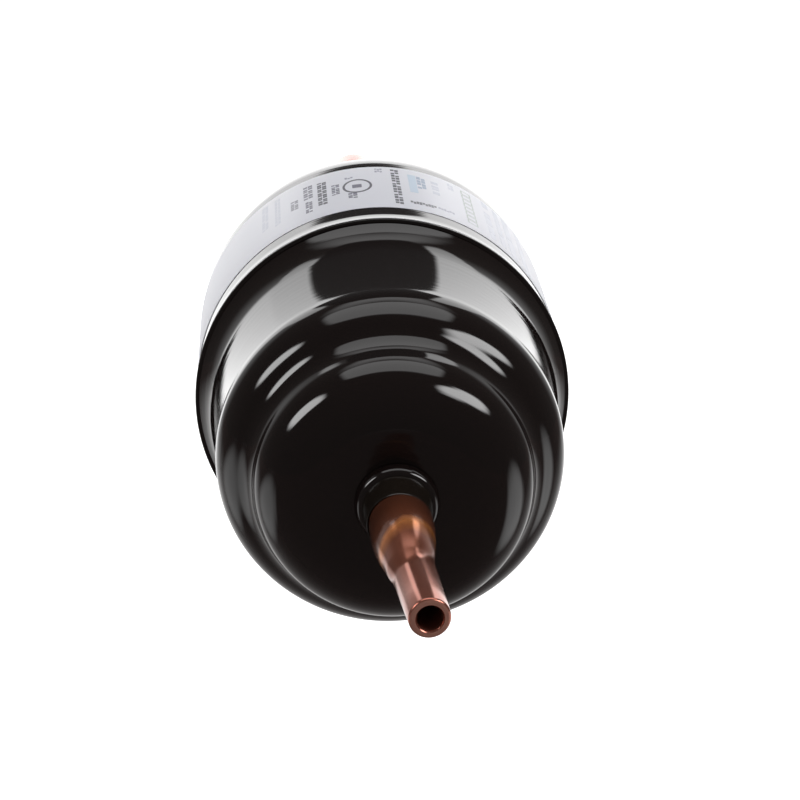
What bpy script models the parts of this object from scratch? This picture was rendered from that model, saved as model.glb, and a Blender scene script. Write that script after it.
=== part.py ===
"""Hermetic refrigerant filter drier with brazed copper connections.

The body is two deep-drawn steel pieces on one axis: a large shell with a dished
end, and a stepped cap that is pushed into the shell's mouth. A moulded desiccant
block sits inside, pressed by a spring against a filter mat and a perforated plate.

Every turned piece is drawn as a profile of (radius, station) points. The station
is the distance along the axis from the shell's mouth, positive towards the outlet.
The axis node then lays that axis along -Y, with the origin midway between the two
open tube ends.
"""
import math

import bmesh
import bpy
from mathutils import Matrix, Vector

# Main shell
shell_radius = 0.0330          # outside of the labelled cylinder
shell_wall = 0.0010
shell_length = 0.0386          # mouth to the start of the dished end
mouth_flare_rise = 0.0004      # the mouth is opened out by this much
mouth_flare_length = 0.0036
dish_shoulder_radius = 0.0270  # gentle start of the dished end
dish_shoulder_slope = math.radians(18)
dish_knuckle_radius = 0.0100
dish_knuckle_slope = math.radians(68)
dish_crown_radius = 0.0685

# Stepped end cap
cap_wall = 0.0012
skirt_length = 0.0090          # how far the cap goes into the shell
shoulder_step = 0.00035        # locating shoulder, below the shell's outside
ramp_slope = math.radians(30)  # slope where the shoulder starts to close in
ramp_radius = 0.0190
drum_root_slope = math.radians(5)  # the drum's wall is slightly hollow along its length
drum_draft = math.radians(0.5)   # slope of the wall beside the nose
drum_length = 0.0204
nose_radius = 0.0103           # first, convex curve of the cap's front
nose_slope = math.radians(49.3)
crease_radius = 0.0081         # concave curve between the nose and the step
step_slope = math.radians(9.6)
step_length = 0.0009           # straight wall of the step
step_radius = 0.0089           # start of the step's outer curve
step_turn = math.radians(34.7)
face_edge_radius = 0.0118      # wider part, which turns into the end face
face_slope = math.radians(88.5)
face_ring = 0.0030             # least flat width left round the bushing

# Joints and clearances
seam_gap = 0.0003              # between drawn and stacked pieces
slip_gap = 0.0002              # between a tube and what it passes through
label_gap = 0.0001

# Steel bushings brazed into the two ends
bushing_radius = 0.0066
bushing_height = 0.0026
bushing_lip_radius = 0.0012
bushing_sleeve_wall = 0.0007
bushing_depth = 0.0030         # sleeve length behind the end wall
braze_height = 0.0058
braze_foot = 0.0010            # width of the fillet where it meets the bushing
braze_edge = 0.00015           # width where it dies out on the copper

# Copper connections
tube_radius = 0.0051
tube_wall = 0.0009
tube_inset = 0.0050            # tube end behind the end wall
inlet_reach = 0.0951           # dished end to the inlet's open end
outlet_straight = 0.0148       # end face to the start of the reducer
outlet_lean = math.radians(1.5)  # the tube leans towards +X from the end face on
reducer_length = 0.0177
reducer_offset = 0.0008        # the reducer is eccentric, towards +X
spigot_radius = 0.0032
spigot_wall = 0.00112
spigot_length = 0.0105
spigot_lean = math.radians(5.9)
tube_end_round = 0.00025

# Label
label_thickness = 0.00015
label_width = 0.0271
label_margin = 0.0086          # mouth to the label's edge
label_seam = math.radians(7.5)  # bare strip between the label's ends, underneath

# Filter stack, from the outlet end
core_clearance = 0.0018        # between the desiccant block and the drum
core_length = 0.0560
core_chamfer = 0.0020
seal_height = 0.0040
seal_inset = 0.0020            # seal below the block's outlet face
plate_depth = 0.0050           # outlet plate beyond the drum's straight wall
plate_thickness = 0.0010
plate_hole_radius = 0.0021
plate_hole_pitch = 0.0084
screen_thickness = 0.0005
screen_hole = 0.0048
screen_pitch = 0.0066
mat_thickness = 0.0045
pad_thickness = 0.0020
cup_rim_height = 0.0045
cup_wall = 0.0008
spring_radius = 0.0140
spring_wire_radius = 0.0009
spring_turns = 4

# Facets
body_segments = 48
tube_segments = 24
wire_segments = 8
hole_segments = 8
turn_segments = 16
chord_error = 0.00018          # how far a facet may leave its arc


def clear_scene():
    for item in list(bpy.data.objects):
        bpy.data.objects.remove(item, do_unlink=True)


def material(name, colour, metallic, roughness):
    finish = bpy.data.materials.new(name)
    finish.use_nodes = True
    shader = finish.node_tree.nodes["Principled BSDF"]
    shader.inputs["Base Color"].default_value = (*colour, 1.0)
    shader.inputs["Metallic"].default_value = metallic
    shader.inputs["Roughness"].default_value = roughness
    return finish


# Profiles. A drawn wall is sampled as (radius, station, slope), where the slope is
# the angle of its outward normal away from radial, towards the end it closes.

def arc(start, slope_from, slope_to, radius, hollow=False):
    """Points along a turned arc that closes in from slope_from to slope_to."""
    r0, z0 = start
    widest = 2 * math.acos(1 - chord_error / radius)
    steps = max(2, math.ceil(abs(slope_to - slope_from) / widest))
    sign = -1 if hollow else 1
    points = []
    for i in range(steps + 1):
        slope = slope_from + (slope_to - slope_from) * i / steps
        fall = sign * radius * (math.cos(slope_from) - math.cos(slope))
        rise = sign * radius * (math.sin(slope) - math.sin(slope_from))
        points.append((r0 - fall, z0 + rise, slope))
    return points


def line_to_radius(start, slope, radius):
    """End of a straight wall of the given slope, where it reaches a radius."""
    r0, z0 = start
    return radius, z0 + (r0 - radius) / math.tan(slope), slope


def joined(*runs):
    """Runs of points end to end, without the points they share."""
    points = []
    for run in runs:
        for point in run:
            if not points or math.dist(point[:2], points[-1][:2]) > 1e-6:
                points.append(point)
    return points


def inset(points, depth):
    """The same wall, moved inwards along its normals."""
    return [(r - depth * math.cos(slope), z - depth * math.sin(slope), slope)
            for r, z, slope in points]


def plain(points):
    return [(r, z) for r, z, *_ in points]


def radius_at(points, station):
    """Radius of a sampled wall at a station."""
    pairs = sorted((z, r) for r, z, *_ in points)
    for (z0, r0), (z1, r1) in zip(pairs, pairs[1:]):
        if z0 <= station <= z1 and z1 > z0:
            return r0 + (r1 - r0) * (station - z0) / (z1 - z0)
    return pairs[0][1] if station < pairs[0][0] else pairs[-1][1]


def station_at(points, radius):
    """Station of a sampled wall at a radius, on the part that closes in."""
    pairs = sorted((r, z) for r, z, *_ in points)
    for (r0, z0), (r1, z1) in zip(pairs, pairs[1:]):
        if r0 <= radius <= r1 and r1 > r0:
            return z0 + (z1 - z0) * (radius - r0) / (r1 - r0)
    return pairs[0][1] if radius < pairs[0][0] else pairs[-1][1]


# Sizes that follow from the driving dimensions

shell_bore = shell_radius - shell_wall
skirt_radius = shell_bore - seam_gap
skirt_bore = skirt_radius - cap_wall
sleeve_bore = tube_radius + slip_gap
sleeve_radius = sleeve_bore + bushing_sleeve_wall
end_hole_radius = sleeve_radius + slip_gap


def cap_outside():
    """Outer wall of the cap, from its locating shoulder to the hole in its face."""
    ramp = arc((shell_radius - shoulder_step, seam_gap), ramp_slope, drum_root_slope, ramp_radius, hollow=True)
    hollow_radius = drum_length / (math.sin(drum_root_slope) - math.sin(drum_draft))
    wall = arc(ramp[-1][:2], drum_root_slope, drum_draft, hollow_radius, hollow=True)
    nose = arc(wall[-1][:2], drum_draft, nose_slope, nose_radius)
    crease = arc(nose[-1][:2], nose_slope, step_slope, crease_radius, hollow=True)
    r, z, _ = crease[-1]
    riser = (r - step_length * math.sin(step_slope), z + step_length * math.cos(step_slope), step_slope)
    step = arc(riser[:2], step_slope, step_turn, step_radius)
    room = (step[-1][0] - bushing_radius - face_ring) / (math.cos(step_turn) - math.cos(face_slope))
    edge = arc(step[-1][:2], step_turn, face_slope, min(face_edge_radius, room))
    face = line_to_radius(edge[-1][:2], face_slope, bushing_radius)
    hole = (end_hole_radius, face[1], math.radians(90))
    return joined(ramp, wall, nose, crease, step, edge, [face, hole])


def dish_outside():
    """Outer wall of the shell's dished end, with stations counted the other way."""
    shoulder = arc((shell_radius, shell_length), 0.0, dish_shoulder_slope, dish_shoulder_radius)
    knuckle = arc(shoulder[-1][:2], dish_shoulder_slope, dish_knuckle_slope, dish_knuckle_radius)
    r, z, _ = knuckle[-1]
    flat = math.acos(bushing_radius / dish_crown_radius)
    crown_end = math.acos(r / dish_crown_radius)
    crown = arc((r, z), crown_end, flat, dish_crown_radius)
    hole = (end_hole_radius, crown[-1][1], math.radians(90))
    return joined(shoulder, knuckle, crown, [hole])


def mirrored(points):
    return [(r, -z) for r, z, *_ in points]


cap_wall_points = cap_outside()
cap_inner_points = [p for p in inset(cap_wall_points, cap_wall) if p[0] < skirt_bore]
dish_wall_points = dish_outside()
dish_inner_points = inset(dish_wall_points, shell_wall)

drum_end_station = arc((0.0, seam_gap), ramp_slope, drum_root_slope, ramp_radius, hollow=True)[-1][1] + drum_length
cap_face_station = cap_wall_points[-1][1]
dish_end_station = dish_wall_points[-1][1]
inlet_end_station = -(dish_end_station + inlet_reach)


# Meshes

def add_object(name, bm, finish, parent):
    bmesh.ops.recalc_face_normals(bm, faces=bm.faces)
    mesh = bpy.data.meshes.new(name)
    bm.to_mesh(mesh)
    bm.free()
    mesh.materials.append(finish)
    piece = bpy.data.objects.new(name, mesh)
    bpy.context.scene.collection.objects.link(piece)
    piece.parent = parent
    mesh.shade_smooth()
    mesh.set_sharp_from_angle(angle=math.radians(28))
    return piece


def spun(profile, segments, ring=True, angle=math.tau, start=0.0):
    """Mesh of a profile turned about the axis; ring closes a profile that misses it."""
    bm = bmesh.new()
    turn = Matrix.Rotation(start, 4, "Z")
    verts = [bm.verts.new(turn @ Vector((r, 0.0, z))) for r, z in profile]
    edges = [bm.edges.new(pair) for pair in zip(verts, verts[1:])]
    if ring:
        edges.append(bm.edges.new((verts[-1], verts[0])))
    whole = abs(angle - math.tau) < 1e-9
    bmesh.ops.spin(bm, geom=verts + edges, cent=(0, 0, 0), axis=(0, 0, 1), angle=angle,
                   steps=segments, use_merge=whole)
    bmesh.ops.remove_doubles(bm, verts=bm.verts, dist=1e-7)
    if not whole:
        bmesh.ops.holes_fill(bm, edges=[e for e in bm.edges if e.is_boundary])
    return bm


def turned(name, profile, finish, parent, segments=body_segments, ring=True):
    return add_object(name, spun(profile, segments, ring), finish, parent)


def prism_cutter(name, places, corner_radius, sides, low, high, parent):
    """Upright prisms at the given (x, y) places, as one hidden cutter."""
    bm = bmesh.new()
    for x, y in places:
        made = bmesh.ops.create_cone(bm, cap_ends=True, segments=sides, radius1=corner_radius,
                                     radius2=corner_radius, depth=high - low)
        place = Matrix.Translation((x, y, (low + high) / 2)) @ Matrix.Rotation(math.pi / sides, 4, "Z")
        bmesh.ops.transform(bm, matrix=place, verts=made["verts"])
    mesh = bpy.data.meshes.new(name)
    bm.to_mesh(mesh)
    bm.free()
    return hidden_cutter(name, mesh, parent)


def hidden_cutter(name, mesh, parent):
    cutter = bpy.data.objects.new(name, mesh)
    bpy.context.scene.collection.objects.link(cutter)
    cutter.parent = parent
    cutter.hide_render = True
    cutter.display_type = "WIRE"
    return cutter


def cut(piece, cutter):
    boolean = piece.modifiers.new("holes", "BOOLEAN")
    boolean.operation = "DIFFERENCE"
    boolean.solver = "EXACT"
    boolean.object = cutter


def hexagonal_places(pitch, limit):
    """Centres of a hexagonal hole pattern inside a circle."""
    places = []
    rows = int(limit / (pitch * math.sqrt(0.75))) + 1
    for row in range(-rows, rows + 1):
        y = row * pitch * math.sqrt(0.75)
        shift = pitch / 2 if row % 2 else 0.0
        columns = int(limit / pitch) + 1
        for column in range(-columns, columns + 1):
            x = column * pitch + shift
            if math.hypot(x, y) <= limit:
                places.append((x, y))
    return places


def square_places(pitch, limit):
    count = int(limit / pitch)
    return [(i * pitch, j * pitch) for i in range(-count, count + 1) for j in range(-count, count + 1)
            if math.hypot(i * pitch, j * pitch) <= limit]


# Drawn steel body

def build_shell(parent, steel):
    lip = [(shell_radius + mouth_flare_rise, 0.0)]
    flare_root = [(shell_radius, -mouth_flare_length)]
    outside = lip + flare_root + mirrored(dish_wall_points)
    bore = [(shell_bore, -mouth_flare_length), (shell_bore + mouth_flare_rise, 0.0)]
    inside = mirrored(reversed(dish_inner_points)) + bore
    turned("main_shell", outside + inside, steel, parent)


def build_cap(parent, steel):
    skirt = [(skirt_bore, -skirt_length), (skirt_radius, -skirt_length), (skirt_radius, seam_gap)]
    inside = plain(reversed(cap_inner_points))
    first = cap_inner_points[0]
    meet = [(skirt_bore, first[1] - (skirt_bore - first[0]) / math.tan(first[2]))]
    turned("end_cap", skirt + plain(cap_wall_points) + inside + meet, steel, parent)


def build_label(parent, paper):
    inner = shell_radius + label_gap
    outer = inner + label_thickness
    low = -label_margin - label_width
    high = -label_margin
    profile = [(inner, low), (outer, low), (outer, high), (inner, high)]
    facet = math.tau / body_segments
    facets = round((math.tau - label_seam) / facet)
    bm = spun(profile, facets, angle=facets * facet, start=-round(body_segments / 4) * facet)
    add_object("label", bm, paper, parent)


# End fittings. Both ends use the same bushing and braze, the inlet's turned round.

def at_end(points, end_station, direction):
    return [(r, end_station + direction * z) for r, z in points]


def build_bushing(name, end_station, wall, direction, parent, steel):
    top = seam_gap + bushing_height
    lip = [(r, z) for r, z, _ in arc((bushing_radius, top - bushing_lip_radius), 0.0, math.pi / 2,
                                     bushing_lip_radius)][:-1]
    flat = bushing_radius - bushing_lip_radius
    front = [(flat, top)] if flat > sleeve_bore else []
    lip = [p for p in lip if p[0] > sleeve_bore]
    depth = -(wall + bushing_depth)
    profile = [(sleeve_bore, depth), (sleeve_radius, depth), (sleeve_radius, seam_gap),
               (bushing_radius, seam_gap)] + lip + front + [(sleeve_bore, top)]
    turned(name, at_end(profile, end_station, direction), steel, parent, tube_segments)


def build_braze(name, end_station, direction, parent, filler):
    foot = seam_gap + bushing_height + slip_gap
    inner = tube_radius + slip_gap
    steps = 4
    slope = []
    for i in range(steps + 1):
        share = i / steps
        width = braze_edge + (braze_foot - braze_edge) * (1 - share) ** 2
        slope.append((inner + width, foot + braze_height * share))
    profile = [(inner, foot)] + slope + [(inner, foot + braze_height)]
    turned(name, at_end(profile, end_station, direction), filler, parent, tube_segments)


def rounded_end(outer, inner, end, round_radius):
    """Rim of an open tube end: the outer edge rounded, the inner edge broken."""
    return [(outer, end - round_radius), (outer - round_radius * 0.3, end - round_radius * 0.3),
            (outer - round_radius, end), (inner + round_radius, end), (inner, end - round_radius)]


def build_inlet_tube(parent, copper):
    start = dish_end_station - shell_wall - tube_inset
    end = dish_end_station + inlet_reach
    inner = tube_radius - tube_wall
    profile = [(inner, start), (tube_radius, start)] + rounded_end(tube_radius, inner, end, tube_end_round)
    turned("inlet_tube", mirrored([(r, z) for r, z in profile]), copper, parent, tube_segments)


def outlet_sections():
    """Centre line and radii of the outlet: leaning tube, eccentric reducer, bent spigot."""
    start = cap_face_station - cap_wall - tube_inset
    bend = cap_face_station + seam_gap + bushing_height
    reducer = cap_face_station + outlet_straight
    inner = tube_radius - tube_wall
    sections = [(start, 0.0, 0.0, tube_radius, inner), (bend, 0.0, 0.0, tube_radius, inner),
                (reducer, (reducer - bend) * math.tan(outlet_lean), outlet_lean, tube_radius, inner)]
    steps = 6
    for i in range(1, steps + 1):
        share = i / steps
        ease = share * share * (3 - 2 * share)
        z = reducer + reducer_length * share
        x = (z - bend) * math.tan(outlet_lean) + reducer_offset * ease
        outer = tube_radius + (spigot_radius - tube_radius) * ease
        bore = inner + (spigot_radius - spigot_wall - inner) * ease
        sections.append((z, x, outlet_lean + (spigot_lean - outlet_lean) * ease, outer, bore))
    return sections


def spigot_end():
    """Centre of the outlet's open end, and the direction it points."""
    z, x, lean, _, _ = outlet_sections()[-1]
    direction = Vector((math.sin(spigot_lean), 0.0, math.cos(spigot_lean)))
    return Vector((x, 0.0, z)) + direction * spigot_length, direction


def outlet_end_station():
    """Farthest point of the spigot's leaning rim."""
    end, _ = spigot_end()
    return end.z + (spigot_radius - tube_end_round) * math.sin(spigot_lean)


def build_outlet_tube(parent, copper):
    sections = outlet_sections()
    end, direction = spigot_end()
    bore = spigot_radius - spigot_wall
    rim = rounded_end(spigot_radius, bore, 0.0, tube_end_round)

    outside = [((x, z), lean, outer) for z, x, lean, outer, _ in sections]
    inside = [((x, z), lean, inner) for z, x, lean, _, inner in sections]
    for r, back in rim:
        centre = end + direction * back
        outside.append(((centre.x, centre.z), spigot_lean, r))

    bm = bmesh.new()
    rings = []
    for (x, z), lean, r in outside + inside[::-1]:
        made = bmesh.ops.create_circle(bm, segments=tube_segments, radius=r)["verts"]
        place = Matrix.Translation((x, 0.0, z)) @ Matrix.Rotation(lean, 4, "Y")
        bmesh.ops.transform(bm, matrix=place, verts=made)
        rings.append(made)
    for ring, following in zip(rings, rings[1:] + rings[:1]):
        for i in range(tube_segments):
            j = (i + 1) % tube_segments
            bm.faces.new((ring[i], ring[j], following[j], following[i]))
    add_object("outlet_tube", bm, copper, parent)


# Filter stack inside

plate_station = drum_end_station + plate_depth
plate_radius = radius_at(cap_inner_points, plate_station) - seam_gap
screen_top = plate_station - plate_thickness - seam_gap
mat_top = screen_top - screen_thickness - seam_gap
mat_radius = min(plate_radius, radius_at(cap_inner_points, mat_top) - seam_gap)
core_top = mat_top - mat_thickness - seam_gap
drum_bore = radius_at(cap_inner_points, core_top)
core_radius = drum_bore - core_clearance
core_bottom = core_top - core_length
pad_bottom = core_bottom - seam_gap - pad_thickness
inlet_screen_top = pad_bottom - seam_gap
cup_floor = inlet_screen_top - screen_thickness - seam_gap


def disc(radius, low, high):
    return [(0.0, low), (radius, low), (radius, high), (0.0, high)]


def build_outlet_plate(parent, steel):
    profile = disc(plate_radius, plate_station - plate_thickness, plate_station)
    plate = turned("outlet_plate", profile, steel, parent, ring=False)
    places = hexagonal_places(plate_hole_pitch, plate_radius - 2 * plate_hole_radius)
    margin = plate_thickness
    cut(plate, prism_cutter("outlet_plate_holes", places, plate_hole_radius, hole_segments,
                            plate_station - plate_thickness - margin, plate_station + margin, parent))


def build_screen(name, radius, top, parent, steel):
    """Coarse strainer: a thin disc with a square grid of openings."""
    screen = turned(name, disc(radius, top - screen_thickness, top), steel, parent, ring=False)
    places = square_places(screen_pitch, radius - screen_pitch / 2)
    corner = screen_hole / math.sqrt(2)
    cut(screen, prism_cutter(name + "_holes", places, corner, 4, top - 2 * screen_thickness,
                             top + screen_thickness, parent))


def build_core(parent, desiccant):
    profile = [(0.0, core_bottom), (core_radius - core_chamfer, core_bottom),
               (core_radius, core_bottom + core_chamfer), (core_radius, core_top - core_chamfer),
               (core_radius - core_chamfer, core_top), (0.0, core_top)]
    turned("desiccant_core", profile, desiccant, parent, ring=False)


def build_seal(parent, felt):
    high = core_top - core_chamfer - seal_inset
    low = high - seal_height
    inner = core_radius + seam_gap
    outer = radius_at(cap_inner_points, high) - seam_gap
    turned("core_seal", [(inner, low), (outer, low), (outer, high), (inner, high)], felt, parent)


def build_spring_plate(parent, steel):
    outer = core_radius + seam_gap + cup_wall
    floor_low = cup_floor - plate_thickness
    rim_top = floor_low + plate_thickness + cup_rim_height
    bend = cup_wall
    profile = [(0.0, floor_low), (outer - bend, floor_low), (outer, floor_low + bend), (outer, rim_top),
               (outer - cup_wall, rim_top), (outer - cup_wall, cup_floor), (0.0, cup_floor)]
    plate = turned("spring_plate", profile, steel, parent, ring=False)
    limit = min(spring_radius - spring_wire_radius - plate_hole_radius, core_radius - 2 * plate_hole_radius)
    inner_places = hexagonal_places(plate_hole_pitch, limit)
    ring_radius = (spring_radius + core_radius) / 2
    count = max(6, int(math.tau * ring_radius / (1.3 * plate_hole_pitch)))
    outer_places = [(ring_radius * math.cos(math.tau * i / count), ring_radius * math.sin(math.tau * i / count))
                    for i in range(count)]
    margin = plate_thickness
    cut(plate, prism_cutter("spring_plate_holes", inner_places + outer_places, plate_hole_radius, hole_segments,
                            floor_low - margin, cup_floor + margin, parent))


def build_spring(parent, spring_steel):
    """Compression spring between the cup and the dished end, with closed ends."""
    top = cup_floor - plate_thickness - seam_gap - spring_wire_radius
    seat_radius = spring_radius + spring_wire_radius
    bottom = -station_at(dish_inner_points, seat_radius) + seam_gap + 1.5 * spring_wire_radius
    closed = 2.2 * spring_wire_radius
    count = spring_turns * turn_segments
    curve = bpy.data.curves.new("spring_path", "CURVE")
    curve.dimensions = "3D"
    curve.bevel_depth = spring_wire_radius
    curve.bevel_resolution = wire_segments // 4
    curve.use_fill_caps = True
    path = curve.splines.new("POLY")
    path.points.add(count)
    for i, point in enumerate(path.points):
        turn = i / turn_segments
        angle = math.tau * turn
        if turn <= 1:
            z = top - closed * turn
        elif turn >= spring_turns - 1:
            z = bottom + closed * (spring_turns - turn)
        else:
            share = (turn - 1) / (spring_turns - 2)
            z = top - closed - (top - bottom - 2 * closed) * share
        point.co = (spring_radius * math.cos(angle), spring_radius * math.sin(angle), z, 1.0)
    curve.materials.append(spring_steel)
    spring = bpy.data.objects.new("spring", curve)
    bpy.context.scene.collection.objects.link(spring)
    spring.parent = parent


def build():
    clear_scene()
    steel = material("black_enamel", (0.012, 0.011, 0.011), 0.0, 0.12)
    bare_steel = material("bare_steel", (0.55, 0.55, 0.56), 1.0, 0.35)
    copper = material("copper", (0.72, 0.36, 0.22), 1.0, 0.28)
    filler = material("painted_braze", (0.02, 0.015, 0.012), 0.0, 0.25)
    paper = material("label_paper", (0.80, 0.80, 0.86), 0.0, 0.35)
    desiccant = material("desiccant", (0.62, 0.58, 0.50), 0.0, 0.95)
    felt = material("felt", (0.82, 0.80, 0.74), 0.0, 0.95)

    axis = bpy.data.objects.new("drier_axis", None)
    bpy.context.scene.collection.objects.link(axis)
    axis.rotation_euler = (math.pi / 2, 0.0, 0.0)
    axis.location = (0.0, (inlet_end_station + outlet_end_station()) / 2, 0.0)

    build_shell(axis, steel)
    build_cap(axis, steel)
    build_label(axis, paper)
    build_bushing("inlet_bushing", -dish_end_station, shell_wall, -1, axis, steel)
    build_bushing("outlet_bushing", cap_face_station, cap_wall, 1, axis, steel)
    build_braze("inlet_braze", -dish_end_station, -1, axis, filler)
    build_braze("outlet_braze", cap_face_station, 1, axis, filler)
    build_inlet_tube(axis, copper)
    build_outlet_tube(axis, copper)

    build_outlet_plate(axis, bare_steel)
    build_screen("outlet_screen", mat_radius, screen_top, axis, bare_steel)
    turned("filter_mat", disc(mat_radius, mat_top - mat_thickness, mat_top), felt, axis, ring=False)
    build_core(axis, desiccant)
    build_seal(axis, felt)
    turned("inlet_pad", disc(core_radius - seam_gap, pad_bottom, pad_bottom + pad_thickness), felt, axis, ring=False)
    build_screen("inlet_screen", core_radius - seam_gap, inlet_screen_top, axis, bare_steel)
    build_spring_plate(axis, bare_steel)
    build_spring(axis, bare_steel)
    bpy.context.view_layer.update()


build()
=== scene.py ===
import math

import bmesh
import bpy
from mathutils import Matrix, Quaternion, Vector


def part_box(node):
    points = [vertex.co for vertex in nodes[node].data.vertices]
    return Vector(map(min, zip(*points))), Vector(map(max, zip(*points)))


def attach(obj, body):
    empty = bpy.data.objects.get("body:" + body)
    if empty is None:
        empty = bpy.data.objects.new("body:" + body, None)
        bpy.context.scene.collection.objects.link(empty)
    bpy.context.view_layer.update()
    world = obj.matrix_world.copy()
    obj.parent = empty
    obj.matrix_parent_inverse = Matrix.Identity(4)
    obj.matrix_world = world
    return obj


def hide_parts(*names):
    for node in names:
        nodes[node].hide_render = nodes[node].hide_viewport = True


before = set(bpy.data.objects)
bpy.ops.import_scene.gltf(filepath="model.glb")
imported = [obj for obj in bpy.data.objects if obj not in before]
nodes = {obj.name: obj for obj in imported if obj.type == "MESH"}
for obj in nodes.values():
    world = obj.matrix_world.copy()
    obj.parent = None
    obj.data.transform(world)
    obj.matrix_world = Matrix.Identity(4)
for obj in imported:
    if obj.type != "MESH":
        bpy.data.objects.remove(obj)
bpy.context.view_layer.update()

# The axis runs along Y. A station is the distance from the shell's mouth towards the outlet, in metres
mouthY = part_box("main_shell")[0].y
print("frame loaded")

# Turned profiles are lists of (radius, station, slope of the outward normal away from radial)


def arc(start, slopeFrom, slopeTo, radius, hollow=False, step=2.0):
    count = max(2, math.ceil(abs(slopeTo - slopeFrom) / step))
    a, sign = math.radians(slopeFrom), -1 if hollow else 1
    points = []
    for i in range(count + 1):
        b = math.radians(slopeFrom + (slopeTo - slopeFrom) * i / count)
        points.append((start[0] - sign * radius * (math.cos(a) - math.cos(b)),
                       start[1] + sign * radius * (math.sin(b) - math.sin(a)), b))
    return points


def inset(points, depth):
    return [(r - depth * math.cos(s), z - depth * math.sin(s), s) for r, z, s in points]


def plain(points):
    return [(p[0], p[1]) for p in points]


def withoutDoubles(points):
    kept = []
    for point in points:
        if not kept or math.dist(point[:2], kept[-1][:2]) > 2e-6:
            kept.append(point)
    return kept


def addPiece(name, bm, material, stands=(), sharp=35):
    bmesh.ops.recalc_face_normals(bm, faces=bm.faces)
    mesh = bpy.data.meshes.new(name)
    bm.to_mesh(mesh)
    bm.free()
    mesh.materials.append(material)
    piece = bpy.data.objects.new(name, mesh)
    bpy.context.scene.collection.objects.link(piece)
    mesh.shade_smooth()
    mesh.set_sharp_from_angle(angle=math.radians(sharp))
    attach(piece, "root")
    if stands:
        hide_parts(*stands)


# A closed profile spun about the axis
def turnedMesh(profile, segments):
    bm = bmesh.new()
    verts = [bm.verts.new((0.0, mouthY - z, r)) for r, z in profile]
    edges = [bm.edges.new(pair) for pair in zip(verts, verts[1:] + verts[:1])]
    bmesh.ops.spin(bm, geom=verts + edges, cent=(0, 0, 0), axis=(0, 1, 0), angle=math.tau,
                   steps=segments, use_merge=True)
    return bm


# Materials


def grainGroup():
    group = bpy.data.node_groups.new("fineGrain", "ShaderNodeTree")
    group.interface.new_socket("Scale", in_out="INPUT", socket_type="NodeSocketFloat")
    group.interface.new_socket("Grain", in_out="OUTPUT", socket_type="NodeSocketFloat")
    given = group.nodes.new("NodeGroupInput")
    place = group.nodes.new("ShaderNodeTexCoord")
    noise = group.nodes.new("ShaderNodeTexNoise")
    result = group.nodes.new("NodeGroupOutput")
    group.links.new(place.outputs["Object"], noise.inputs["Vector"])
    group.links.new(given.outputs["Scale"], noise.inputs["Scale"])
    group.links.new(noise.outputs["Fac"], result.inputs["Grain"])
    return group


fineGrain = grainGroup()


def grainOf(tree, scale):
    grain = tree.nodes.new("ShaderNodeGroup")
    grain.node_tree = fineGrain
    grain.inputs["Scale"].default_value = scale
    return grain.outputs["Grain"]


def newMaterial(name):
    material = bpy.data.materials.new(name)
    material.use_nodes = True
    return material, material.node_tree, material.node_tree.nodes["Principled BSDF"]


def plainFinish(name, colour, metallic, roughness, grainScale=0.0, grainStrength=0.0):
    material, tree, shader = newMaterial(name)
    shader.inputs["Base Color"].default_value = (*colour, 1)
    shader.inputs["Metallic"].default_value = metallic
    shader.inputs["Roughness"].default_value = roughness
    if grainStrength:
        bump = tree.nodes.new("ShaderNodeBump")
        bump.inputs["Strength"].default_value = grainStrength
        bump.inputs["Distance"].default_value = 0.0002
        tree.links.new(grainOf(tree, grainScale), bump.inputs["Height"])
        tree.links.new(bump.outputs["Normal"], shader.inputs["Normal"])
    return material


# Black enamel. Fine drawing rings in the steel show through it, so the pattern runs on radius and length
enamelLook = {"colour": (0.0075, 0.0045, 0.0042), "roughness": 0.06, "ringsPerMetre": 900,
              "ringDepth": 0.000014}


def enamelFinish():
    material = plainFinish("blackEnamel", enamelLook["colour"], 0.0, enamelLook["roughness"])
    tree = material.node_tree
    new, link = tree.nodes.new, tree.links.new
    place = new("ShaderNodeTexCoord")
    parts = new("ShaderNodeSeparateXYZ")
    link(place.outputs["Object"], parts.inputs[0])
    across = new("ShaderNodeCombineXYZ")
    link(parts.outputs["X"], across.inputs["X"])
    link(parts.outputs["Z"], across.inputs["Z"])
    radius = new("ShaderNodeVectorMath")
    radius.operation = "LENGTH"
    link(across.outputs[0], radius.inputs[0])
    section = new("ShaderNodeCombineXYZ")
    link(radius.outputs["Value"], section.inputs["X"])
    link(parts.outputs["Y"], section.inputs["Y"])
    noise = new("ShaderNodeTexNoise")
    noise.inputs["Scale"].default_value = enamelLook["ringsPerMetre"]
    noise.inputs["Detail"].default_value = 1.0
    link(section.outputs[0], noise.inputs["Vector"])
    bump = new("ShaderNodeBump")
    bump.inputs["Distance"].default_value = enamelLook["ringDepth"]
    link(noise.outputs["Fac"], bump.inputs["Height"])
    link(bump.outputs["Normal"], tree.nodes["Principled BSDF"].inputs["Normal"])
    return material


# Drawn copper, pink where clean, brown where the torch heated it, with a bright orange band between that is
# heat tint and partly a painted highlight on the reducer's knee. Lengths run along the part: its middle, and
# how far from there the torch's marks start and end. The stops are shares of that stretch
copperLook = {"roughness": (0.14, 0.27), "coat": 0.45, "coatRoughness": 0.13, "grainScale": 260,
              "wander": 0.0012, "middle": -0.0261, "heatFrom": 0.0630, "heatTo": 0.0983, "sideways": 0.9,
              "bareFrom": 0.20, "bareTo": 0.27, "tarnishedMetal": 0.45, "cleanMetal": 0.80,
              "cutColour": (0.80, 0.40, 0.31), "cutFacing": (0.70, 0.95), "cutRoughness": 0.25,
              # The orange stop at 0.25 is heat tint and partly a painted highlight where the reducer's knee
              # catches light
              "stops": [(0.0, (0.11, 0.034, 0.017)), (0.20, (0.19, 0.058, 0.028)), (0.25, (0.80, 0.27, 0.07)),
                        (0.34, (0.36, 0.110, 0.056)), (1.0, (0.46, 0.158, 0.108))]}


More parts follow.
